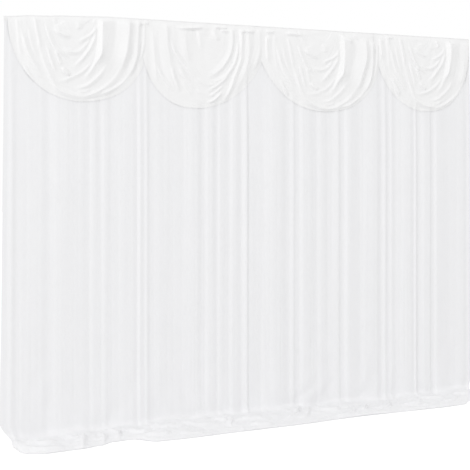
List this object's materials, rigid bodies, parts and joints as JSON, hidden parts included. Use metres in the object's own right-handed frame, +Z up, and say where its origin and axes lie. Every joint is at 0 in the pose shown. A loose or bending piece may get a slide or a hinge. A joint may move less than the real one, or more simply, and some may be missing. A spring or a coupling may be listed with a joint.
{
  "type": "swagged backdrop curtain",
  "caption": "Wide white gathered backdrop curtain that falls to the floor and lies in a low heap, with scooped swags sewn in a row along its heading band.",
  "frame": {"origin": "middle of the heading band's top edge, in the plane of its back", "axes": "+X to the right along the top edge as seen from the front, -Y out of the front, +Z up"},
  "size_m": [4.0088, 0.4152, 2.9998],
  "materials": {
    "heading_cloth": "plain doubled white polyester band, matte",
    "curtain_cloth": "thin soft white polyester knit with a faint sheen",
    "swag_cloth": "the same soft white polyester, a little shinier on its bias folds"
  },
  "bodies": {
    "root": {"heading": "heading_cloth", "curtain": "curtain_cloth", "swag_1": "swag_cloth", "swag_2": "swag_cloth", "swag_3": "swag_cloth", "swag_4": "swag_cloth"}
  },
  "joints": []
}
